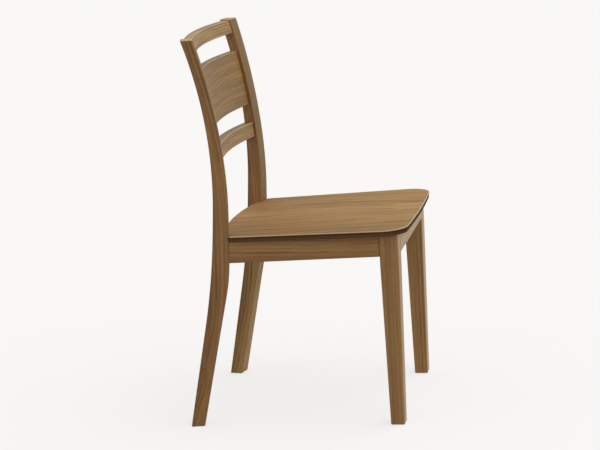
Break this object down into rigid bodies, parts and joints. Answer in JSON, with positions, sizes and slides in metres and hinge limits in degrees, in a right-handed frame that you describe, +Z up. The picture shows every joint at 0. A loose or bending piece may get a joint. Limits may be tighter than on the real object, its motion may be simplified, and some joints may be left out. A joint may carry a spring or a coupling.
{
  "type": "dining chair",
  "caption": "Solid-wood dining chair with a flat undercut seat, square tapered front legs, sawn toed-in back posts and a curved open back of rails and a panel.",
  "frame": {"origin": "on the floor, under the middle of the chair's bounding box", "axes": "+Z up, the front of the chair faces -Y, +X is to the right when the chair is seen from the front"},
  "size_m": [0.4828, 0.5231, 0.88],
  "materials": {
    "frame_timber": "oiled solid hardwood, satin, upright grain",
    "rail_timber": "oiled solid hardwood, satin, grain along the rail",
    "seat_timber": "oiled solid hardwood staves, satin, grain front to back",
    "apron_timber": "oiled solid hardwood, satin, grain along the apron",
    "block_timber": "sawn hardwood, unfinished",
    "dowel_timber": "turned beech, unfinished",
    "screw_steel": "zinc-plated steel"
  },
  "bodies": {
    "root": {"back_post_left": "frame_timber", "back_post_right": "frame_timber", "front_leg_left": "frame_timber", "front_leg_right": "frame_timber", "crest_rail": "rail_timber", "back_panel": "rail_timber", "lower_back_rail": "rail_timber", "seat_board": "seat_timber", "front_apron": "apron_timber", "rear_apron": "apron_timber", "side_apron_left": "apron_timber", "side_apron_right": "apron_timber", "corner_block_front_left": "block_timber", "corner_block_front_right": "block_timber", "corner_block_rear_left": "block_timber", "corner_block_rear_right": "block_timber", "crest_rail_dowels": "dowel_timber", "back_panel_dowels": "dowel_timber", "lower_rail_dowels": "dowel_timber", "rear_apron_dowels": "dowel_timber", "front_apron_dowels": "dowel_timber", "side_apron_dowels": "dowel_timber", "corner_block_screws": "screw_steel", "seat_screws": "screw_steel"}
  },
  "joints": []
}
